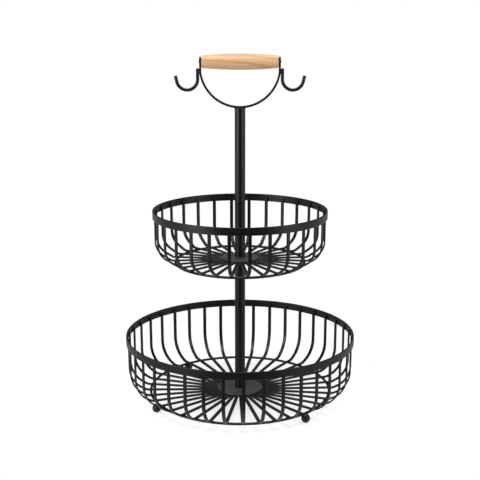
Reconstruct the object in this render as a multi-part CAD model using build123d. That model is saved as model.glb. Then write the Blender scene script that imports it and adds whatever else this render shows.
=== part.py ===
from build123d import *
import os
from math import atan2, cos, radians, sin, sqrt, tan

# Tiered wire basket: two round baskets of bent flat wire, one above the other on a
# pole, with a half-round bow, a turned wooden grip and two wire hooks at the top.
# Millimetres, +Z up. The origin lies on the table, on the pole's axis; the front is -Y.

# Stock that both baskets are made of
rib_width = 4.5
rib_thickness = 2.0
ring_wire = 3.4
band_height = 9.8
band_thickness = 2.0
band_edge_chamfer = 0.4
plate_thickness = 1.8
plate_edge_chamfer = 0.4
weld_gap = 0.02
overrun = 5.0

# A rib's bend at the floor, measured on its outside, and its top under the rim's
floor_bend = 10.7
rib_top_drop = 4.0

# Lower basket
lower_rim_diameter = 300.0
lower_depth = 78.6
lower_wall_lean = 0.3
lower_wall_foot_rise = 11.5
lower_wall_bend = 33.5
lower_floor_inset = 25.8
lower_ring_inset = 5.4
lower_floor_fall = 3.4
lower_plate_diameter = 59.8
lower_rib_count = 38
lower_first_rib = 1.7

# Upper basket
upper_rim_diameter = 225.2
upper_depth = 68.7
upper_wall_lean = 0.4
upper_wall_foot_rise = 13.2
upper_wall_bend = 24.0
upper_floor_inset = 24.4
upper_ring_inset = 4.7
upper_floor_fall = -0.25
upper_plate_diameter = 48.8
upper_rib_count = 28
upper_first_rib = 6.2

# The plates overlap the inner ends of the spokes by this much
spoke_overlap = 2.2

# Ball feet, with their bearings counted from the front towards +X in degrees
foot_diameter = 11.4
foot_sink = 2.2
foot_outset = 2.4
foot_bearings = {
    "foot_front_right": 42.8,
    "foot_back_right": 131.0,
    "foot_back_left": -142.4,
    "foot_front_left": -62.1,
}

# Pole
tube_diameter = 13.5
tube_wall = 1.2
lower_tube_length = 177.4
upper_tube_length = 192.25
bush_length = 14.0
plug_length = 10.0
bush_gap = 0.02
thread_diameter = 6.0
thread_clearance = 0.05
plate_hole_clearance = 0.2
stud_length = 25.0
stud_chamfer = 0.6

# Base screw and its washer
screw_reach = 11.0
head_diameter = 11.0
head_height = 3.6
head_round = 2.0
socket_width = 4.0
socket_depth = 2.2
washer_diameter = 15.0
washer_thickness = 1.2

# Grip
grip_length = 96.0
grip_diameter = 20.0
grip_end_diameter = 15.4
grip_end_chamfer = 1.0
grip_end_gap = 0.3
rod_diameter = 4.0
rod_running_gap = 0.05

# Bow
strap_thickness = 2.5
strap_width = 6.5
strap_end_round = 2.8
bow_bulge = 0.5
elbow_radius = 12.0
grip_over_bow_centre = 6.2
arm_over_grip = 6.0

# Hooks
hook_wire = 4.2
hook_radius = 13.2
hook_leg = 13.5
hook_leg_drop = 8.2
hook_arc = 167.0
hook_tip = 7.8
hook_end_chamfer = 0.6

# Round sizes that several pieces share
ring_wire_radius = ring_wire / 2
tube_radius = tube_diameter / 2
bore_radius = tube_radius - tube_wall
bush_radius = bore_radius - bush_gap
thread_radius = thread_diameter / 2
threaded_hole_radius = thread_radius + thread_clearance
plate_hole_radius = thread_radius + plate_hole_clearance


class Basket:
    """The places of one basket's pieces; radii from the pole, heights from the table."""

    def __init__(self, rim_diameter, depth, wall_lean, wall_foot_rise, wall_bend, floor_inset,
                 ring_inset, floor_fall, plate_diameter, rib_count, first_rib):
        self.rim_radius = rim_diameter / 2
        self.depth = depth
        self.wall_foot_rise = wall_foot_rise
        self.wall_bend = wall_bend
        self.rib_count = rib_count
        self.first_rib = first_rib
        self.plate_radius = plate_diameter / 2
        # A flat rib touches the round band along its two edges
        inner_radius = self.rim_radius - band_thickness
        self.seat_radius = sqrt(inner_radius ** 2 - (rib_width / 2) ** 2) - weld_gap
        self.wall_foot_radius = self.seat_radius - wall_lean
        self.corner_radius = self.rim_radius - floor_inset
        self.ring_radius = self.corner_radius - ring_inset
        self.spoke_end_radius = self.plate_radius - spoke_overlap
        self.slope = atan2(floor_fall, self.ring_radius - self.spoke_end_radius)
        # From the ring's centre up through the wire, the spoke and the weld to the plate
        stack = (ring_wire_radius + weld_gap + rib_thickness) / cos(self.slope) + weld_gap
        highest = max(0, tan(self.slope) * spoke_overlap)
        self.plate_rise = stack + highest - floor_fall

    def place(self, ring_height):
        """Put the floor ring's centre at this height, and the rest with it."""
        self.ring_height = ring_height
        self.rim_top = ring_height + self.depth
        self.rib_top = self.rim_top - rib_top_drop
        self.plate_bottom = ring_height + self.plate_rise
        self.plate_top = self.plate_bottom + plate_thickness
        self.wall_foot_height = self.spoke_underside(self.corner_radius) + self.wall_foot_rise

    def spoke_underside(self, radius):
        """Height of a spoke's underside, which rests on the floor ring, at this radius."""
        on_ring = self.ring_height + (ring_wire_radius + weld_gap) / cos(self.slope)
        return on_ring + tan(self.slope) * (radius - self.ring_radius)


lower = Basket(lower_rim_diameter, lower_depth, lower_wall_lean, lower_wall_foot_rise,
               lower_wall_bend, lower_floor_inset, lower_ring_inset, lower_floor_fall,
               lower_plate_diameter, lower_rib_count, lower_first_rib)
upper = Basket(upper_rim_diameter, upper_depth, upper_wall_lean, upper_wall_foot_rise,
               upper_wall_bend, upper_floor_inset, upper_ring_inset, upper_floor_fall,
               upper_plate_diameter, upper_rib_count, upper_first_rib)

# Heights, stacked up from the table
lower.place(foot_diameter - foot_sink + ring_wire_radius)
upper.place(lower.plate_top + lower_tube_length - upper.plate_rise)
pole_top = upper.plate_top + upper_tube_length

# The bow, seen from the front
arm_inner = grip_length / 2 + grip_end_gap
arm_outer = arm_inner + strap_thickness
bow_radius = arm_outer + bow_bulge
bow_centre_height = pole_top + weld_gap + bow_radius
grip_height = bow_centre_height + grip_over_bow_centre
arm_top = grip_height + arm_over_grip


def rim_band(basket):
    """A flat strip rolled to a hoop, with its four long edges eased."""
    section = Pos(basket.rim_radius - band_thickness / 2, basket.rim_top - band_height / 2) \
        * Rectangle(band_thickness, band_height)
    section = chamfer(section.vertices(), band_edge_chamfer)
    return revolve(Plane.XZ * section, Axis.Z)


def rib(basket):
    """One flat wire along +X: floor spoke, bend and wall, in one piece."""
    line = FilletPolyline(
        (basket.spoke_end_radius, basket.spoke_underside(basket.spoke_end_radius)),
        (basket.corner_radius, basket.spoke_underside(basket.corner_radius)),
        (basket.wall_foot_radius, basket.wall_foot_height),
        (basket.seat_radius, basket.rib_top),
        radius=[floor_bend, basket.wall_bend],
    )
    side_view = make_face(offset(line, amount=rib_thickness, side=Side.LEFT, closed=True))
    return extrude(Plane.XZ * side_view, amount=rib_width / 2, both=True)


def ribs(basket):
    """The ribs of a basket, evenly spaced round it."""
    one = rib(basket)
    spacing = 360 / basket.rib_count
    front = -90
    return Compound(children=[
        one.rotate(Axis.Z, front + basket.first_rib + spacing * place).solid()
        for place in range(basket.rib_count)
    ])


def floor_ring(basket, gap=0):
    """The wire hoop under the spokes; with a gap, the groove that it lies in."""
    return Pos(0, 0, basket.ring_height) * Torus(basket.ring_radius, ring_wire_radius + gap)


def column(radius, bottom, top):
    """A round bar or hole on the pole's axis."""
    return Pos(0, 0, bottom) * Cylinder(radius, top - bottom, align=(Align.CENTER, Align.CENTER, Align.MIN))


def center_plate(basket):
    """The round plate on the inner ends of the spokes, with the hole for the pole's thread."""
    disc = column(basket.plate_radius, basket.plate_bottom, basket.plate_top)
    disc = chamfer(disc.edges().group_by(Axis.Z)[-1], plate_edge_chamfer)
    return disc - column(plate_hole_radius, basket.plate_bottom - overrun, basket.plate_top + overrun)


def foot(bearing):
    """A steel ball under the outside of the lower floor ring, let into its weld by foot_sink."""
    ball_radius = foot_diameter / 2
    at_front = Pos(0, -lower.ring_radius - foot_outset, ball_radius) * Sphere(ball_radius)
    seated = at_front - floor_ring(lower, weld_gap)
    return seated.rotate(Axis.Z, bearing)


def bow_seat(shape):
    """Cope the head of the pole to the round of the bow that is welded on it."""
    saddle = Pos(0, 0, bow_centre_height) * Rot(90, 0, 0) \
        * Cylinder(bow_radius + weld_gap, tube_diameter + overrun)
    return shape - saddle


def tube(bottom, top):
    """A length of round tube."""
    return column(tube_radius, bottom, top) - column(bore_radius, bottom - overrun, top + overrun)


def bush(bottom, length):
    """A threaded bush welded in a tube's end."""
    return column(bush_radius, bottom, bottom + length) \
        - column(threaded_hole_radius, bottom - overrun, bottom + length + overrun)


def joint_stud():
    """The stud that screws the two tubes together through the upper plate."""
    middle = upper.plate_bottom + plate_thickness / 2
    stud = column(thread_radius, middle - stud_length / 2, middle + stud_length / 2)
    return chamfer(stud.edges().filter_by(GeomType.CIRCLE), stud_chamfer)


def base_washer():
    """The washer between the base screw's head and the lower plate."""
    bottom = lower.plate_bottom - washer_thickness
    return column(washer_diameter / 2, bottom, lower.plate_bottom) \
        - column(plate_hole_radius, bottom - overrun, lower.plate_bottom + overrun)


def base_screw():
    """A socket screw with a domed head, driven upwards into the lower tube."""
    seat = lower.plate_bottom - washer_thickness
    bottom = seat - head_height
    head = column(head_diameter / 2, bottom, seat)
    head = fillet(head.edges().group_by(Axis.Z)[0], head_round)
    shank = column(thread_radius, seat, lower.plate_top + screw_reach)
    shank = chamfer(shank.edges().group_by(Axis.Z)[-1], stud_chamfer)
    hexagon = RegularPolygon(socket_width / 2, 6, major_radius=False)
    socket = extrude(Pos(0, 0, bottom) * hexagon, socket_depth)
    return head + shank - socket


def handle_bow():
    """The strap: a half-round bow, an elbow on each side and two upright arms for the grip."""
    elbow_x = arm_outer - elbow_radius
    elbow_drop = sqrt((bow_radius - elbow_radius) ** 2 - elbow_x ** 2)
    elbow_height = bow_centre_height - elbow_drop
    reach = bow_radius / (bow_radius - elbow_radius)
    joint = (elbow_x * reach, bow_centre_height - elbow_drop * reach)
    half_turn = atan2(elbow_drop, elbow_x) / 2
    elbow_middle = (elbow_x + elbow_radius * cos(half_turn), elbow_height - elbow_radius * sin(half_turn))
    bottom = (0, bow_centre_height - bow_radius)

    def left(point):
        return (-point[0], point[1])

    line = Line((-arm_outer, arm_top), (-arm_outer, elbow_height)) \
        + ThreePointArc((-arm_outer, elbow_height), left(elbow_middle), left(joint)) \
        + ThreePointArc(left(joint), bottom, joint) \
        + ThreePointArc(joint, elbow_middle, (arm_outer, elbow_height)) \
        + Line((arm_outer, elbow_height), (arm_outer, arm_top))
    front_view = make_face(offset(line, amount=strap_thickness, side=Side.LEFT, closed=True))
    strap = extrude(Plane.XZ * front_view, amount=strap_width / 2, both=True)
    corners = strap.edges().filter_by(Axis.X).group_by(Axis.Z)[-1]
    strap = fillet(corners, strap_end_round)
    return strap - rod(rod_diameter / 2 + weld_gap, arm_outer + overrun)


def rod(radius, half_length):
    """A round bar along the grip's axis."""
    return Pos(0, 0, grip_height) * Rot(0, 90, 0) * Cylinder(radius, half_length * 2)


def wood_grip():
    """A turned barrel with a bore for the rod and a small chamfer at each end."""
    half = grip_length / 2
    end_radius = grip_end_diameter / 2
    bore = rod_diameter / 2 + rod_running_gap
    shoulder = half - grip_end_chamfer
    outline = Polyline((-shoulder, end_radius), (-half, end_radius - grip_end_chamfer), (-half, bore),
                       (half, bore), (half, end_radius - grip_end_chamfer), (shoulder, end_radius)) \
        + ThreePointArc((shoulder, end_radius), (0, grip_diameter / 2), (-shoulder, end_radius))
    barrel = revolve(Plane.XZ * make_face(outline), Axis.X)
    return Pos(0, 0, grip_height) * barrel


def hook(side):
    """A round wire hook, welded by its leg to the outside of an arm; side is -1 or 1."""
    leg_x = arm_outer + weld_gap + hook_wire / 2
    leg_top = grip_height - hook_leg_drop
    leg_foot = leg_top - hook_leg
    middle_x = leg_x + hook_radius
    end_turn = radians(180 - hook_arc)
    arc_end = (middle_x + hook_radius * cos(end_turn), leg_foot - hook_radius * sin(end_turn))
    tip = (arc_end[0] + hook_tip * sin(end_turn), arc_end[1] + hook_tip * cos(end_turn))
    line = Line((leg_x, leg_top), (leg_x, leg_foot)) \
        + ThreePointArc((leg_x, leg_foot), (middle_x, leg_foot - hook_radius), arc_end) \
        + Line(arc_end, tip)
    path = Plane.XZ * line
    wire = sweep(Plane(origin=(leg_x, 0, leg_top)) * Circle(hook_wire / 2), path=path)
    wire = chamfer(wire.faces().filter_by(GeomType.PLANE).edges(), hook_end_chamfer)
    return wire if side > 0 else mirror(wire, Plane.YZ)


nodes = {
    "lower_rim_band": rim_band(lower),
    "lower_ribs": ribs(lower),
    "lower_floor_ring": floor_ring(lower),
    "lower_center_plate": center_plate(lower),
    "base_screw": base_screw(),
    "base_washer": base_washer(),
    "lower_tube": tube(lower.plate_top, upper.plate_bottom),
    "lower_tube_bottom_bush": bush(lower.plate_top, bush_length),
    "lower_tube_top_bush": bush(upper.plate_bottom - bush_length, bush_length),
    "joint_stud": joint_stud(),
    "upper_center_plate": center_plate(upper),
    "upper_ribs": ribs(upper),
    "upper_floor_ring": floor_ring(upper),
    "upper_rim_band": rim_band(upper),
    "upper_tube": bow_seat(tube(upper.plate_top, pole_top + overrun)),
    "upper_tube_bottom_bush": bush(upper.plate_top, bush_length),
    "upper_tube_top_plug": bow_seat(column(bush_radius, pole_top - plug_length, pole_top + overrun)),
    "handle_bow": handle_bow(),
    "left_hook": hook(-1),
    "right_hook": hook(1),
    "grip_rod": rod(rod_diameter / 2, arm_outer),
    "wood_grip": wood_grip(),
}
for name, bearing in foot_bearings.items():
    nodes[name] = foot(bearing)

os.makedirs("parts", exist_ok=True)
for name, shape in nodes.items():
    export_step(shape, f"parts/{name}.step")
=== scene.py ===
from math import asin, atan2, cos, degrees, pi, radians, sin, sqrt, tan

import bmesh
import bpy
from mathutils import Matrix, Vector


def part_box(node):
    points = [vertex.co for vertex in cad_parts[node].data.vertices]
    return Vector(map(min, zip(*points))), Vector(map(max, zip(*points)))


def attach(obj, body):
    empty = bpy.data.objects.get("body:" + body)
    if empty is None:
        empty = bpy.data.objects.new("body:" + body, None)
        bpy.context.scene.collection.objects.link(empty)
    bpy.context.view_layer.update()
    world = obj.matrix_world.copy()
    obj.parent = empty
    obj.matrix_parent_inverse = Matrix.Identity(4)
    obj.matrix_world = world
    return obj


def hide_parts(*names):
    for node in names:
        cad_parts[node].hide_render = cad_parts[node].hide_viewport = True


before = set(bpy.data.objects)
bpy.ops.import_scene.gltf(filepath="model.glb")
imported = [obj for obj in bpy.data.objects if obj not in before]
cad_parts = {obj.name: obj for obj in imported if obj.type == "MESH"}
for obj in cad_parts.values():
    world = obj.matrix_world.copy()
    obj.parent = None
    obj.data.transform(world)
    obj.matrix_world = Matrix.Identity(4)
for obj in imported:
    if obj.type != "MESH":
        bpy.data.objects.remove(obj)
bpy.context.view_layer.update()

# Rim bands. Two hoops of flat steel strip, rolled and butt-welded, with their long edges
# eased. Like every welded part of the basket they are powder-coated satin black, so the
# coat's finish is made here, and so are the tools that turn a profile round the pole.
mm = 0.001
band_thickness = 2.0
band_edge = 0.45
band_facets = 240
coat_dark = (0.0038, 0.0038, 0.0040, 1)
coat_pale = (0.0062, 0.0062, 0.0065, 1)
coat_smooth, coat_rough = 0.30, 0.40
noise_low, noise_high = 0.3, 0.7


class Term:
    """A socket in shader maths; sums and products of terms and numbers add Math nodes."""

    def __init__(self, finish, socket):
        self.finish = finish
        self.socket = socket

    def math(self, operation, *others):
        terms = dict(enumerate((self, *others)))
        return self.finish.node("ShaderNodeMath", {"operation": operation}, terms)

    def __add__(self, other):
        return self.math("ADD", other)

    def __sub__(self, other):
        return self.math("SUBTRACT", other)

    def __rsub__(self, other):
        return self.math("MULTIPLY_ADD", -1, other)

    def __mul__(self, other):
        return self.math("MULTIPLY", other)

    __radd__ = __add__
    __rmul__ = __mul__


class Finish:
    """A procedural surface, put together node by node."""

    def __init__(self, name, tree=None):
        if tree is None:
            self.material = bpy.data.materials.new(name)
            self.material.use_nodes = True
            tree = self.material.node_tree
        self.tree = tree
        tree.nodes.clear()

    def node(self, kind, settings=None, values=None, output=0):
        made = self.tree.nodes.new(kind)
        for setting, value in (settings or {}).items():
            setattr(made, setting, value)
        for socket, value in (values or {}).items():
            if isinstance(value, Term):
                self.tree.links.new(value.socket, made.inputs[socket])
            else:
                made.inputs[socket].default_value = value
        return Term(self, made.outputs[output]) if made.outputs else made

    def blend(self, share, first, second):
        """A colour that goes from the first to the second as the share goes from 0 to 1."""
        colours = {0: share, 6: first, 7: second}
        return self.node("ShaderNodeMix", {"data_type": "RGBA"}, colours, 2)

    def place(self, shares=(1, 1, 1)):
        """The point on the piece, in metres; a small share draws a pattern out on its axis."""
        point = self.node("ShaderNodeTexCoord", output="Object")
        return self.node("ShaderNodeVectorMath", {"operation": "MULTIPLY"}, {0: point, 1: shares})

    def noise(self, per_metre, detail=2, shares=(1, 1, 1)):
        """Soft spots, so many per metre. Most of it lies between noise_low and noise_high."""
        values = {"Vector": self.place(shares), "Scale": per_metre, "Detail": detail}
        return self.node("ShaderNodeTexNoise", {}, values)

    def spread(self, value, low, high, to_low, to_high):
        """Map low..high of the value to to_low..to_high, and hold it there outside."""
        values = {0: value, 1: low, 2: high, 3: to_low, 4: to_high}
        return self.node("ShaderNodeMapRange", {}, values)

    def bump(self, height, depth, strength):
        values = {"Strength": strength, "Distance": depth, "Height": height}
        return self.node("ShaderNodeBump", {}, values)

    def surface(self, **values):
        named = {name.replace("_", " "): value for name, value in values.items()}
        shader = self.node("ShaderNodeBsdfPrincipled", {}, named)
        self.node("ShaderNodeOutputMaterial", {}, {"Surface": shader})
        return self.material


def powder_coat(name, dark, pale, smooth, rough):
    """Baked powder: faint clouds in the black, and an orange peel of shallow waves."""
    coat = Finish(name)
    cloud = coat.noise(per_metre=22, detail=3)
    orange_peel = coat.noise(per_metre=750)
    grit = coat.noise(per_metre=3200, detail=1)
    dullness = orange_peel * 0.6 + grit * 0.4
    relief = orange_peel + grit * 0.3
    relief_depth = 0.04 * mm
    return coat.surface(
        Base_Color=coat.blend(coat.spread(cloud, noise_low, noise_high, 0, 1), dark, pale),
        Roughness=coat.spread(dullness, noise_low, noise_high, smooth, rough),
        Normal=coat.bump(relief, relief_depth, strength=0.45),
    )


black_coat = powder_coat("satin_black_powder_coat", coat_dark, coat_pale, coat_smooth, coat_rough)


def make_piece(name, points, faces, finish, slot, body, *nodes):
    """A piece of the object from points in millimetres, with smooth faces and crisp corners."""
    sharpest_smooth = radians(38)
    mesh = bpy.data.meshes.new(name)
    mesh.from_pydata([Vector(point) * mm for point in points], [], faces)
    shape = bmesh.new()
    shape.from_mesh(mesh)
    bmesh.ops.recalc_face_normals(shape, faces=shape.faces)
    for face in shape.faces:
        face.smooth = True
    for edge in shape.edges:
        edge.smooth = edge.calc_face_angle(0) < sharpest_smooth
    shape.to_mesh(mesh)
    shape.free()
    mesh.materials.append(finish)
    piece = bpy.data.objects.new(name, mesh)
    bpy.context.scene.collection.objects.link(piece)
    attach(piece, body)
    if nodes:
        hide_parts(*nodes)


def arc(middle, radius, start, end, steps):
    """Points on an arc in a plane, from one bearing to another, in degrees."""
    bearings = [radians(start + (end - start) * step / steps) for step in range(steps + 1)]
    return [(middle[0] + radius * cos(turn), middle[1] + radius * sin(turn)) for turn in bearings]


def rounded_bar(width, height, edge, steps=3, margin=0.12):
    """The closed outline of a flat bar's section with eased corners, about its middle.

    A margin beside each corner keeps the flat faces flat in the light."""
    across, up = width / 2 - edge, height / 2 - edge
    corners = ((across, up, 0), (-across, up, 90), (-across, -up, 180), (across, -up, 270))
    outline = []
    for x, y, start in corners:
        corner = arc((x, y), edge, start, start + 90, steps)
        run = Vector((-sin(radians(start)), cos(radians(start)))) * margin
        outline += [Vector(corner[0]) - run, *corner, Vector(corner[-1]) + Vector((-run.y, run.x))]
    return [tuple(point) for point in outline]


def turned(outline, facets):
    """Points and faces of a closed outline of (radius, height) turned round the pole."""
    points = []
    for facet in range(facets):
        turn = 2 * pi * facet / facets
        points += [(radius * cos(turn), radius * sin(turn), height) for radius, height in outline]
    count = len(outline)
    faces = []
    for facet in range(facets):
        here, there = facet * count, (facet + 1) % facets * count
        for step in range(count):
            ahead = (step + 1) % count
            faces.append((here + step, here + ahead, there + ahead, there + step))
    return points, faces


def reach(node):
    """The lowest and highest corner of a CAD node, in millimetres."""
    low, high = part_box(node)
    return low / mm, high / mm


for tier in ("lower", "upper"):
    low, high = reach(f"{tier}_rim_band")
    section = rounded_bar(band_thickness, high.z - low.z, band_edge)
    outline = [(high.x - band_thickness / 2 + x, (low.z + high.z) / 2 + z) for x, z in section]
    make_piece(f"{tier}_rim_hoop", *turned(outline, band_facets), black_coat, "black_powder_coat",
               "basket_frame", f"{tier}_rim_band")

# Ribs. Every rib is one length of flat wire, bent twice: a spoke that lies on the floor
# ring, a tight bend, the long easy bend of the wall, and a straight top. Small weld beads
# hold it on both flanks of the ring, under the plate's edge and behind the rim band.
rib_width = 4.5
rib_thickness = 2.0
rib_edge = 0.6
floor_bend = 10.7
bend_steps = 14
plate_overlap = 2.2
ring_wire = 3.4
weld_gap = 0.02
nugget = 0.5
flank_out, flank_drop, flank_inset = 1.25, 0.45, 0.3
band_weld_foot, band_weld_head = 0.6, 0.5
plate_weld_start, plate_weld_end, plate_weld_drop = 0.2, 0.5, 0.1
weld_steps = 10
plate_weld_steps = 8
flank_aside, plate_aside = 5, 9
front = -90
# Of each basket: how many ribs it has, and the first one's bearing from the front. Then how
# far a spoke falls from ring to plate, how far in from the rim it ends, how high above that
# and how far in from the band the wall starts, and the radius of the wall's bend.
tiers = {
    "lower": dict(count=38, first=1.7, fall=3.4, floor_inset=25.8, foot_rise=11.5, lean=0.3,
                  wall_bend=33.5),
    "upper": dict(count=28, first=6.2, fall=-0.25, floor_inset=24.4, foot_rise=13.2, lean=0.4,
                  wall_bend=24.0),
}


def bent_line(corners, radii, steps):
    """A line through these corners, with each bend rounded to its radius."""
    corners = [Vector(corner) for corner in corners]
    line = [corners[0]]
    for before, corner, after, radius in zip(corners, corners[1:], corners[2:], radii):
        back, ahead = (before - corner).normalized(), (after - corner).normalized()
        half = back.angle(ahead) / 2
        middle = corner + (back + ahead).normalized() * radius / sin(half)
        inward = (corner - middle).normalized()
        side = 1 if back.x * ahead.y - back.y * ahead.x < 0 else -1
        for step in range(steps + 1):
            turn = side * (pi / 2 - half) * (2 * step / steps - 1)
            line.append(middle + Matrix.Rotation(turn, 2) @ inward * radius)
    return line + [corners[-1]]


def swept(line, section, tips=((1, 1, 0),)):
    """Points and faces of a bar along a flat line: points are (along, sideways, up).

    Section points are (across in the line's plane, out of it). Tips lists how the bar ends:
    the shares left of its two widths, and how far it has gone past the line's end."""
    line = [Vector(point) for point in line]
    ahead = [(after - before).normalized() for before, after in zip(line, line[1:])]
    turns = [ahead[0]] + [(a + b).normalized() for a, b in zip(ahead, ahead[1:])] + [ahead[-1]]
    stations = [(line[0] - ahead[0] * past, turns[0], thin, narrow)
                for thin, narrow, past in reversed(tips)]
    stations += [(point, turn, 1, 1) for point, turn in zip(line[1:-1], turns[1:-1])]
    stations += [(line[-1] + ahead[-1] * past, turns[-1], thin, narrow)
                 for thin, narrow, past in tips]
    points = []
    for middle, turn, thin, narrow in stations:
        normal = Vector((-turn.y, turn.x))
        for across, out in section:
            spot = middle + normal * across * thin
            points.append((spot.x, out * narrow, spot.y))
    count = len(section)
    faces = [tuple(range(count)), tuple(range(len(points) - count, len(points)))]
    for station in range(len(stations) - 1):
        here = station * count
        for step in range(count):
            ahead_step = (step + 1) % count
            faces.append((here + step, here + ahead_step,
                          here + count + ahead_step, here + count + step))
    return points, faces


def bead(path, radius, beside, closed=False, ripple=0.08, sides=10):
    """Points and faces of a weld bead along a path, with a ripple at every fourth point.

    Beside is a point off the path that the bead's rings of points are lined up with."""
    blunt_share = 0.1
    path = [Vector(point) for point in path]
    beside = Vector(beside)
    last = len(path) - 1
    points = []
    for station, middle in enumerate(path):
        before = path[station - 1] if station or closed else middle
        after = path[(station + 1) % len(path)] if station < last or closed else middle
        along = (after - before).normalized()
        out = middle - beside
        out = (out - along * out.dot(along)).normalized()
        side = along.cross(out)
        thick = radius * (1 + ripple * cos(pi / 2 * station))
        if not closed:
            from_end = min((middle - path[0]).length, (middle - path[-1]).length)
            rise = min(1, from_end / radius)
            thick *= sqrt(blunt_share + (1 - blunt_share) * rise * (2 - rise))
        for step in range(sides):
            turn = 2 * pi * step / sides
            points.append(middle + (out * cos(turn) + side * sin(turn)) * thick)
    faces = [] if closed else [tuple(range(sides)), tuple(range(last * sides, len(path) * sides))]
    for station in range(last + closed):
        here, there = station * sides, (station + 1) % len(path) * sides
        for step in range(sides):
            ahead = (step + 1) % sides
            faces.append((here + step, here + ahead, there + ahead, there + step))
    return points, faces


def straight(start, end, steps):
    """Points along a straight line, both ends included."""
    start, end = Vector(start), Vector(end)
    return [start.lerp(end, step / steps) for step in range(steps + 1)]


def joined(*shapes):
    """Several shapes as one list of points and one of faces."""
    points, faces = [], []
    for more_points, more_faces in shapes:
        start = len(points)
        points += more_points
        faces += [tuple(start + corner for corner in face) for face in more_faces]
    return points, faces


def spun(points, faces, bearings):
    """Copies of a shape turned round the pole to each bearing, in degrees from +X."""
    copies = []
    for bearing in bearings:
        ahead, aside = cos(radians(bearing)), sin(radians(bearing))
        copy = [(x * ahead - y * aside, x * aside + y * ahead, z) for x, y, z in points]
        copies.append((copy, faces))
    return joined(*copies)


for tier, shape in tiers.items():
    band_low, band_high = reach(f"{tier}_rim_band")
    ring_low, ring_high = reach(f"{tier}_floor_ring")
    plate_low, plate_high = reach(f"{tier}_center_plate")
    rib_top = reach(f"{tier}_ribs")[1].z
    ring_radius = ring_high.x - ring_wire / 2
    spoke_end = plate_high.x - plate_overlap
    slope = atan2(shape["fall"], ring_radius - spoke_end)
    on_ring = ring_low.z + ring_wire / 2 + (ring_wire / 2 + weld_gap) / cos(slope)
    seat = sqrt((band_high.x - band_thickness) ** 2 - (rib_width / 2) ** 2) - weld_gap
    corner = band_high.x - shape["floor_inset"]
    corner_height = on_ring + tan(slope) * (corner - ring_radius)
    outside = bent_line(
        ((spoke_end, on_ring + tan(slope) * (spoke_end - ring_radius)), (corner, corner_height),
         (seat - shape["lean"], corner_height + shape["foot_rise"]), (seat, rib_top)),
        (floor_bend, shape["wall_bend"]), bend_steps)
    flat_wire = rounded_bar(rib_thickness, rib_width, rib_edge)
    section = [(across + rib_thickness / 2, out) for across, out in flat_wire]
    points, faces = swept(outside, section)
    spacing = 360 / shape["count"]
    bearings = [front + shape["first"] + spacing * number for number in range(shape["count"])]
    make_piece(f"{tier}_rib_cage", *spun(points, faces, bearings), black_coat, "black_powder_coat",
               "basket_frame", f"{tier}_ribs")
    edge_out = rib_width / 2
    welds = []
    for side in (-1, 1):
        flank = ring_radius + side * flank_out
        seam = straight((flank, flank_inset - edge_out, on_ring - flank_drop),
                        (flank, edge_out - flank_inset, on_ring - flank_drop), weld_steps)
        welds.append(bead(seam, nugget, (ring_radius + side * flank_aside, 0, on_ring)))
        seam = straight((seat, side * edge_out, band_low.z + band_weld_foot),
                        (seat, side * edge_out, rib_top - band_weld_head), weld_steps)
        welds.append(bead(seam, nugget, (0, 0, band_low.z)))
        under = plate_low.z - plate_weld_drop
        seam = straight((spoke_end + plate_weld_start, side * edge_out, under),
                        (plate_high.x - plate_weld_end, side * edge_out, under), plate_weld_steps)
        welds.append(bead(seam, nugget, (spoke_end, side * plate_aside, plate_low.z)))
    points, faces = joined(*welds)
    make_piece(f"{tier}_rib_welds", *spun(points, faces, bearings), black_coat, "black_powder_coat",
               "basket_frame")

# Floor rings. A hoop of round wire under each basket's spokes, butt-welded end to end. The
# spokes' weld beads hold it.
ring_facets = 200
wire_sides = 16
for tier in tiers:
    low, high = reach(f"{tier}_floor_ring")
    wire = (high.z - low.z) / 2
    last_side = 360 - 360 / wire_sides
    outline = arc((high.x - wire, (low.z + high.z) / 2), wire, 0, last_side, wire_sides - 1)
    make_piece(f"{tier}_ring_wire", *turned(outline, ring_facets), black_coat, "black_powder_coat",
               "basket_frame", f"{tier}_floor_ring")

# Centre plates. Two blanked and pierced discs that the spokes are welded under. The press
# leaves their upper edge rounded and their lower edge almost sharp. Their coat is painted
# paler than the rest of the black, on every face: a painted reflection of the light from above.
plate_edge = 0.5
plate_edge_steps = 5
plate_foot_edge = 0.15
plate_flat_margin = 0.1
plate_facets = 96
hole_radius = 3.2
# Painted reflection: these greys make the plates' black coat paler, standing in for the overhead
# light that their tops reflect.
plate_painted_reflection_dark = (0.053, 0.053, 0.054, 1)
plate_painted_reflection_pale = (0.061, 0.061, 0.062, 1)
plate_smooth, plate_rough = 0.30, 0.38
plate_painted_reflection_coat = powder_coat("plate_powder_coat", plate_painted_reflection_dark, plate_painted_reflection_pale, plate_smooth, plate_rough)
for tier in tiers:
    low, high = reach(f"{tier}_center_plate")
    rim, top = high.x - plate_edge, high.z - plate_edge
    upper_edge = arc((rim, top), plate_edge, 0, 90, plate_edge_steps)
    outline = [(hole_radius, low.z), (high.x - plate_foot_edge, low.z),
               (high.x, low.z + plate_foot_edge), (high.x, low.z + 2 * plate_foot_edge),
               (high.x, top - plate_flat_margin), *upper_edge,
               (rim - 2 * plate_flat_margin, high.z), (hole_radius, high.z)]
    make_piece(f"{tier}_plate_disc", *turned(outline, plate_facets), plate_painted_reflection_coat,
               "black_powder_coat", "basket_frame", f"{tier}_center_plate")

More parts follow.
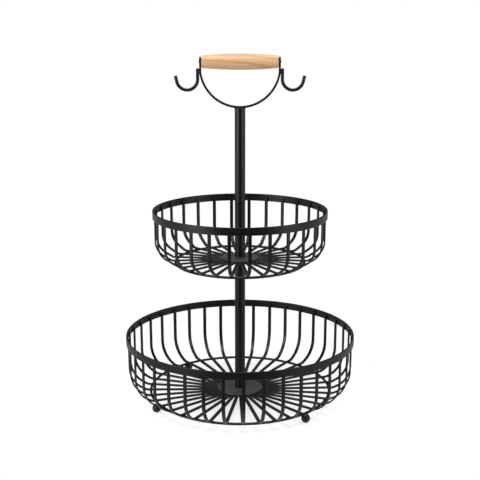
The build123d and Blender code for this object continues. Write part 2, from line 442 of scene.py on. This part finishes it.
# Ball feet. Four solid steel balls, welded up into the lower floor ring, with a collar of
# weld between ball and wire. A hair-thin hole along a ball's axis closes its turned shape.
feet = ("foot_front_right", "foot_front_left", "foot_back_left", "foot_back_right")
ball_step = 6
ball_facets = 40
axis_hole = 0.01
collar = 0.55
seam_reach = 72
seam_step = 12
collars = []
ring_low, ring_high = reach("lower_floor_ring")
wire = ring_wire / 2
ring_radius, ring_height = ring_high.x - wire, (ring_low.z + ring_high.z) / 2
for name in feet:
    low, high = reach(name)
    radius = (high.x - low.x) / 2
    middle = Vector(((low.x + high.x) / 2, (low.y + high.y) / 2, low.z + radius))
    bearings = [radians(bearing) for bearing in range(ball_step, 180, ball_step)]
    outline = [(radius * sin(bearing), radius * -cos(bearing)) for bearing in bearings]
    outline = [(axis_hole, -radius), *outline, (axis_hole, radius)]
    points, faces = turned(outline, ball_facets)
    points = [Vector(point) + middle for point in points]
    make_piece(f"{name}_ball", points, faces, black_coat, "black_powder_coat", "basket_frame", name)
    outset = middle.xy.length - ring_radius
    lowest = atan2(radius - ring_height, outset)
    turns = [lowest + radians(step) for step in range(-seam_reach, seam_reach + 1, seam_step)]
    seam = []
    for side in (1, -1):
        for turn in turns[::side]:
            out, height = wire * cos(turn), ring_height + wire * sin(turn)
            span = sqrt(max(0, radius ** 2 - (out - outset) ** 2 - (height - radius) ** 2))
            if span:
                seam.append((ring_radius + out, side * span, height))
    beside = (ring_radius + 2 * wire * cos(lowest), 0, ring_height + 2 * wire * sin(lowest))
    shape = bead(seam, collar, beside, closed=True)
    collars.append(spun(*shape, [degrees(atan2(middle.y, middle.x))]))
make_piece("foot_weld_collars", *joined(*collars), black_coat, "black_powder_coat", "basket_frame")

# Pole. Two lengths of round tube with a plate clamped between them, their ends eased. The
# head of the upper one is coped to the round of the bow, which is welded on it.
tube_wall = 1.2
tube_edge = 0.35
tube_facets = 64
bow_bulge = 0.5
bow_low, bow_high = reach("handle_bow")
for tier in tiers:
    low, high = reach(f"{tier}_tube")
    outer, inner = high.x, high.x - tube_wall
    head = [(outer, high.z)]
    if tier == "lower":
        head = [(outer, high.z - tube_edge), (outer - tube_edge, high.z)]
    outline = [(inner, low.z), (outer - tube_edge, low.z), (outer, low.z + tube_edge),
               *head, (inner, high.z)]
    points, faces = turned(outline, tube_facets)
    if tier == "upper":
        cope_radius = bow_high.x + bow_bulge + weld_gap
        cope_middle = bow_low.z - weld_gap + cope_radius
        points = [(x, y, cope_middle - sqrt(cope_radius ** 2 - x ** 2) if z == high.z else z)
                  for x, y, z in points]
    make_piece(f"{tier}_pole_tube", points, faces, black_coat, "black_powder_coat",
               "basket_frame", f"{tier}_tube")

# Hidden hardware. Bushes and plug in the tubes' ends, the joint stud, and the washer and
# socket screw that hold the pole from below: turned steel, zinc-plated.
hardware = ("lower_tube_bottom_bush", "lower_tube_top_bush", "joint_stud", "upper_tube_bottom_bush",
            "upper_tube_top_plug", "base_screw", "base_washer")
zinc_blue = (0.52, 0.53, 0.55, 1)
zinc_grey = (0.66, 0.67, 0.66, 1)
zinc_smooth, zinc_rough = 0.26, 0.44
turning_depth = 0.02 * mm
zinc = Finish("zinc_plate")
passivation = zinc.noise(per_metre=60, detail=3)
turning = zinc.noise(per_metre=500, shares=(0.2, 0.2, 6))
zinc_steel = zinc.surface(
    Base_Color=zinc.blend(passivation, zinc_blue, zinc_grey),
    Metallic=1.0,
    Roughness=zinc.spread(turning, noise_low, noise_high, zinc_smooth, zinc_rough),
    Normal=zinc.bump(turning, turning_depth, strength=0.5),
)
for name in hardware:
    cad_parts[name].data.materials.clear()
    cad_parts[name].data.materials.append(zinc_steel)

# Bow. One flat strap: a half-round bow, an elbow on each side and two upright arms with
# rounded ends that hold the grip's rod. A weld bead runs round its seat on the pole.
strap_thickness = 2.5
strap_edge = 0.5
strap_end_round = 2.8
end_turn, end_steps = 80, 8
end_thin_share = 0.8
elbow_radius = 12.0
bow_steps = 40
elbow_steps = 10
bow_bead = 0.75
seat_edge_steps = 32
seat_side_steps = 15
arm_outer = bow_high.x
strap_width = bow_high.y - bow_low.y
bow_radius = arm_outer + bow_bulge
bow_middle = bow_low.z + bow_radius
half = strap_thickness / 2
elbow_x = arm_outer - elbow_radius
elbow_z = bow_middle - sqrt((bow_radius - elbow_radius) ** 2 - elbow_x ** 2)
meeting = degrees(atan2(elbow_z - bow_middle, elbow_x))
right_half = arc((0, bow_middle), bow_radius - half, -90, meeting, bow_steps)[1:]
right_half += arc((elbow_x, elbow_z), elbow_radius - half, meeting, 0, elbow_steps)[1:]
right_half += [(arm_outer - half, bow_high.z)]
line = [(-x, z) for x, z in reversed(right_half)] + [(0, bow_low.z + half)] + right_half
shoulder = strap_width / 2 - strap_end_round
rounding = [(1, (shoulder + z) * 2 / strap_width, past - strap_end_round)
            for z, past in arc((0, 0), strap_end_round, 0, end_turn, end_steps)]
rounding.append((end_thin_share, shoulder * 2 / strap_width, 0))
points, faces = swept(line, rounded_bar(strap_thickness, strap_width, strap_edge), rounding)
make_piece("bow_strap", points, faces, black_coat, "black_powder_coat", "basket_frame",
           "handle_bow")
tube_radius = reach("upper_tube")[1].x
quarter = asin(strap_width / 2 / tube_radius)
seat_x = tube_radius * cos(quarter)
edge = [(seat_x * (2 * step / seat_edge_steps - 1), -strap_width / 2)
        for step in range(seat_edge_steps)]
edge += arc((0, 0), tube_radius, -degrees(quarter), degrees(quarter), seat_side_steps)
seam = [(side * x, side * y, bow_middle - sqrt(bow_radius ** 2 - x ** 2))
        for side in (1, -1) for x, y in edge]
make_piece("bow_weld", *bead(seam, bow_bead, (0, 0, bow_low.z), closed=True), black_coat,
           "black_powder_coat", "basket_frame")

# Hooks. Round wire bent to a J, with both ends ground round. Its straight leg is welded
# along the outside of an arm, with a bead in each groove beside it.
hook_radius = 13.2
hook_arc = 167.0
hook_tip = 7.8
hook_steps = 30
hook_sides = 24
ground_length = 1.0
ground_shares = ((1, 0.3), (0.96, 0.6), (0.86, 0.84), (0.72, 0.97), (0.6, 1))
groove_out, groove_side = 0.75, 1.8
hook_bead = 1.05
bead_head, bead_foot = 0.9, 7.2
bead_steps = 28
bead_ripple = 0.045
groove_aside = 9
for side, name in ((-1, "left_hook"), (1, "right_hook")):
    low, high = reach(name)
    hook_wire = high.y - low.y
    leg_x = arm_outer + weld_gap + hook_wire / 2
    leg_foot = low.z + hook_wire / 2 + hook_radius
    middle = (leg_x + hook_radius, leg_foot)
    line = [(leg_x, high.z - ground_length)]
    line += arc(middle, hook_radius, 180, 180 + hook_arc, hook_steps)
    last = radians(180 + hook_arc)
    run = hook_tip - ground_length
    line.append((line[-1][0] - sin(last) * run, line[-1][1] + cos(last) * run))
    rounding = [(share, share, ground_length * past) for share, past in ground_shares]
    section = arc((0, 0), hook_wire / 2, 0, 360 - 360 / hook_sides, hook_sides - 1)
    points, faces = swept(line, section, rounding)
    points = [(side * x, y, z) for x, y, z in points]
    make_piece(f"{name}_wire", points, faces, black_coat, "black_powder_coat", "basket_frame", name)
    groove_x = side * (arm_outer + groove_out)
    welds = []
    for face in (-1, 1):
        seam = straight((groove_x, face * groove_side, high.z - bead_head),
                        (groove_x, face * groove_side, high.z - bead_foot), bead_steps)
        beside = (groove_x, face * groove_aside, high.z)
        welds.append(bead(seam, hook_bead, beside, ripple=bead_ripple))
    make_piece(f"{name}_welds", *joined(*welds), black_coat, "black_powder_coat", "basket_frame")

# Grip rod. A steel rod through the grip, coated with the arms. Its ends are plug-welded in
# them, which leaves a low round button outside each arm.
button = ((axis_hole, -0.4), (2.7, -0.4), (2.6, 0.05), (2.2, 0.28), (1.4, 0.42), (axis_hole, 0.5))
button_facets = 28
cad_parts["grip_rod"].data.materials.clear()
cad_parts["grip_rod"].data.materials.append(black_coat)
rod_low, rod_high = reach("grip_rod")
rod_height = (rod_low.z + rod_high.z) / 2
points, faces = turned(button, button_facets)
plugs = [([(side * (arm_outer + z), y, rod_height + x) for x, y, z in points], faces)
         for side in (-1, 1)]
make_piece("rod_plug_welds", *joined(*plugs), black_coat, "black_powder_coat", "basket_frame")

# Grip. A barrel turned from beech, sanded and oiled, with a small chamfer at each end. It
# is bored right through and turns on the rod. The year rings cut its round in long slow
# waves, with fine fibres between them and the short brown flecks of beech.
end_radius = 7.7
chamfer = 1.0
bore = 2.05
barrel_steps = 40
barrel_facets = 72
pale_wood = (0.675, 0.42, 0.225, 1)
ring_wood = (0.480, 0.255, 0.115, 1)
warm_wood = (0.60, 0.33, 0.170, 1)
fleck_wood = (0.40, 0.22, 0.11, 1)
ring_share, fibre_share, warm_share, fleck_share = 0.65, 0.38, 0.35, 0.35
sanded_smooth, sanded_rough = 0.46, 0.58
fibre_depth = 0.06 * mm
beech = Finish("turned_beech")
rings = beech.node("ShaderNodeTexWave", {"bands_direction": "DIAGONAL"}, {
    "Vector": beech.place((0.18, 1, 1)), "Scale": 40, "Distortion": 4, "Detail": 1})
fibres = beech.noise(per_metre=520, shares=(0.03, 1, 1))
tone = beech.noise(per_metre=30, shares=(0.25, 1, 1))
flecks = beech.noise(per_metre=1500, detail=1, shares=(0.06, 1, 1))
ring_lines = beech.spread(rings, 0.6, 1, 0, ring_share)
fibre_lines = beech.spread(fibres, 0.38, 0.66, 0, fibre_share)
warmth = beech.spread(tone, noise_low, noise_high, 0, warm_share)
fleck = beech.spread(flecks, 0.66, 0.74, 0, 1)
grained = beech.blend(ring_lines + fibre_lines, pale_wood, ring_wood)
warmed = beech.blend(warmth, grained, warm_wood)
beech_wood = beech.surface(
    Sheen_Weight=0.45,
    Sheen_Roughness=0.4,
    Base_Color=beech.blend(fleck * fleck_share, warmed, fleck_wood),
    Roughness=beech.spread(fibres, noise_low, noise_high, sanded_smooth, sanded_rough),
    Normal=beech.bump(fibres * 0.6 - fleck * 0.4, fibre_depth, strength=0.2),
)
grip_low, grip_high = reach("wood_grip")
grip_middle = (grip_low.z + grip_high.z) / 2
grip_half = grip_high.x
belly = grip_high.z - grip_middle
side_radius = (grip_half ** 2 + (belly - end_radius) ** 2) / (2 * (belly - end_radius))
outline = [(bore, -grip_half), (end_radius - chamfer, -grip_half)]
for step in range(barrel_steps + 1):
    x = (grip_half - chamfer) * (2 * step / barrel_steps - 1)
    outline.append((belly - side_radius + sqrt(side_radius ** 2 - x ** 2), x))
outline += [(end_radius - chamfer, grip_half), (bore, grip_half)]
points, faces = turned(outline, barrel_facets)
points = [(z, y, x + grip_middle) for x, y, z in points]
make_piece("beech_grip", points, faces, beech_wood, "beech", "grip", "wood_grip")

# Floor. A pale round studio table that runs out into the white sweep. It shows white, keeps
# the basket's soft shadow, and is clear from below. Shiny pieces mirror it a little dimmer.
floor_radius = 0.30
floor_sides = 96
fade_start, fade_end = 0.165, 0.23
floor_glow = 0.66
mirrored_share = 0.3
floor_dark = (0.44, 0.44, 0.44, 1)
floor_pale = (0.47, 0.47, 0.47, 1)
paper = Finish("pale_floor")
shiny_ray = paper.node("ShaderNodeLightPath", output="Is Glossy Ray") \
    + paper.node("ShaderNodeLightPath", output="Is Transmission Ray")
seen = paper.node("ShaderNodeLightPath", output="Is Camera Ray") + shiny_ray * mirrored_share
mottle = paper.blend(paper.noise(per_metre=8), floor_dark, floor_pale)
matt = paper.node("ShaderNodeBsdfDiffuse", {}, {"Color": mottle})
glow = paper.node("ShaderNodeEmission", {}, {"Strength": seen * floor_glow})
lit = paper.node("ShaderNodeAddShader", {}, {0: matt, 1: glow})
way_out = paper.node("ShaderNodeVectorMath", {"operation": "LENGTH"}, {0: paper.place()}, "Value")
faded = paper.spread(way_out, fade_start, fade_end, 0, 1)
from_below = paper.node("ShaderNodeNewGeometry", output="Backfacing")
clear = paper.node("ShaderNodeBsdfTransparent")
table_top = paper.node("ShaderNodeMixShader", {}, {
    0: faded.math("MAXIMUM", from_below), 1: lit, 2: clear})
paper.node("ShaderNodeOutputMaterial", {}, {"Surface": table_top})
floor_mesh = bpy.data.meshes.new("studio_floor")
round_edge = arc((0, 0), floor_radius, 0, 360 - 360 / floor_sides, floor_sides - 1)
floor_mesh.from_pydata([(x, y, 0) for x, y in round_edge], [], [tuple(range(floor_sides))])
floor_mesh.materials.append(paper.material)
floor = bpy.data.objects.new("studio_floor", floor_mesh)
bpy.context.scene.collection.objects.link(floor)

# Studio. Two tall soft boxes in front, left and right, and one overhead, in a dim room.
# Shiny surfaces also mirror the white sweep behind and the white table on both sides, and
# the table throws more light up than the room throws down.
soft_boxes = {
    "left_box": ((-1.22, -0.87, 0.66), (0.70, 1.28), 12.9),
    "right_box": ((1.32, -0.72, 0.66), (0.60, 1.28), 6.7),
    "top_box": ((0.0, -0.15, 1.75), (1.3, 1.0), 19.5),
}
aim = Vector((0, 0, 0.22))
room_tint = (0.97, 0.98, 1, 1)
room_dimness = 0.05
table_bounce, room_bounce = 0.75, 0.38
horizon = (-0.1, 0.1)
# How bright the sweep and the table are in a reflection, and between which Y and Z of its
# direction each of them comes in or fades.
sweep_strength, sweep_back, sweep_rise = 0.2, (0.3, 0.9), (0.08, 0.26)
table_strength, table_side, table_edge = 0.45, (-0.87, -0.55), (-0.06, 0.04)
world = bpy.data.worlds.new("studio")
world.use_nodes = True
bpy.context.scene.world = world
room = Finish("studio", world.node_tree)
direction = room.node("ShaderNodeTexCoord", output="Generated")
behind = room.node("ShaderNodeSeparateXYZ", {}, {0: direction}, "Y")
above = room.node("ShaderNodeSeparateXYZ", {}, {0: direction}, "Z")
sweep = room.spread(behind, *sweep_back, 0, 1) * room.spread(above, *sweep_rise, 0, sweep_strength)
table = room.spread(behind, *table_side, 0, table_strength) * room.spread(above, *table_edge, 1, 0)
camera_ray = room.node("ShaderNodeLightPath", output="Is Camera Ray")
shiny_ray = room.node("ShaderNodeLightPath", output="Is Glossy Ray") \
    + room.node("ShaderNodeLightPath", output="Is Transmission Ray")
white = camera_ray.math("MAXIMUM", shiny_ray * (sweep + table))
bounce = room.spread(above, *horizon, table_bounce, room_bounce)
fill = room.node("ShaderNodeLightPath", output="Is Diffuse Ray") * bounce + room_dimness
dim = room.node("ShaderNodeBackground", {}, {"Color": room_tint, "Strength": fill})
bright = room.node("ShaderNodeBackground", {}, {"Color": (1, 1, 1, 1), "Strength": 1.0})
room.node("ShaderNodeOutputWorld", {}, {
    "Surface": room.node("ShaderNodeMixShader", {}, {0: white, 1: dim, 2: bright})})
for name, (place, size, power) in soft_boxes.items():
    light = bpy.data.lights.new(name, "AREA")
    light.shape = "RECTANGLE"
    light.size, light.size_y = size
    light.energy = power
    lamp = bpy.data.objects.new(name, light)
    lamp.location = place
    lamp.rotation_euler = (aim - lamp.location).to_track_quat("-Z", "Y").to_euler()
    bpy.context.scene.collection.objects.link(lamp)

# Camera. It stands in front of the basket, a little above the grip, and looks down at it.
# Its place and lens were worked out from the rims and floor rings of the photographed one.
camera_distance = 1.2340
camera_height = 0.5029
camera_pitch = 13.0
sensor_width = 36
picture = 480
focal_pixels = 978.03
principal_row = 237.33
lens = bpy.data.cameras.new("photo_camera")
lens.sensor_width = sensor_width
lens.lens = focal_pixels / picture * sensor_width
lens.shift_y = (principal_row - picture / 2) / picture
camera = bpy.data.objects.new("photo_camera", lens)
camera.location = (0, -camera_distance, camera_height)
camera.rotation_euler = (radians(90 - camera_pitch), 0, 0)
bpy.context.scene.collection.objects.link(camera)
bpy.context.scene.camera = camera
bpy.context.scene.view_settings.view_transform = "Standard"
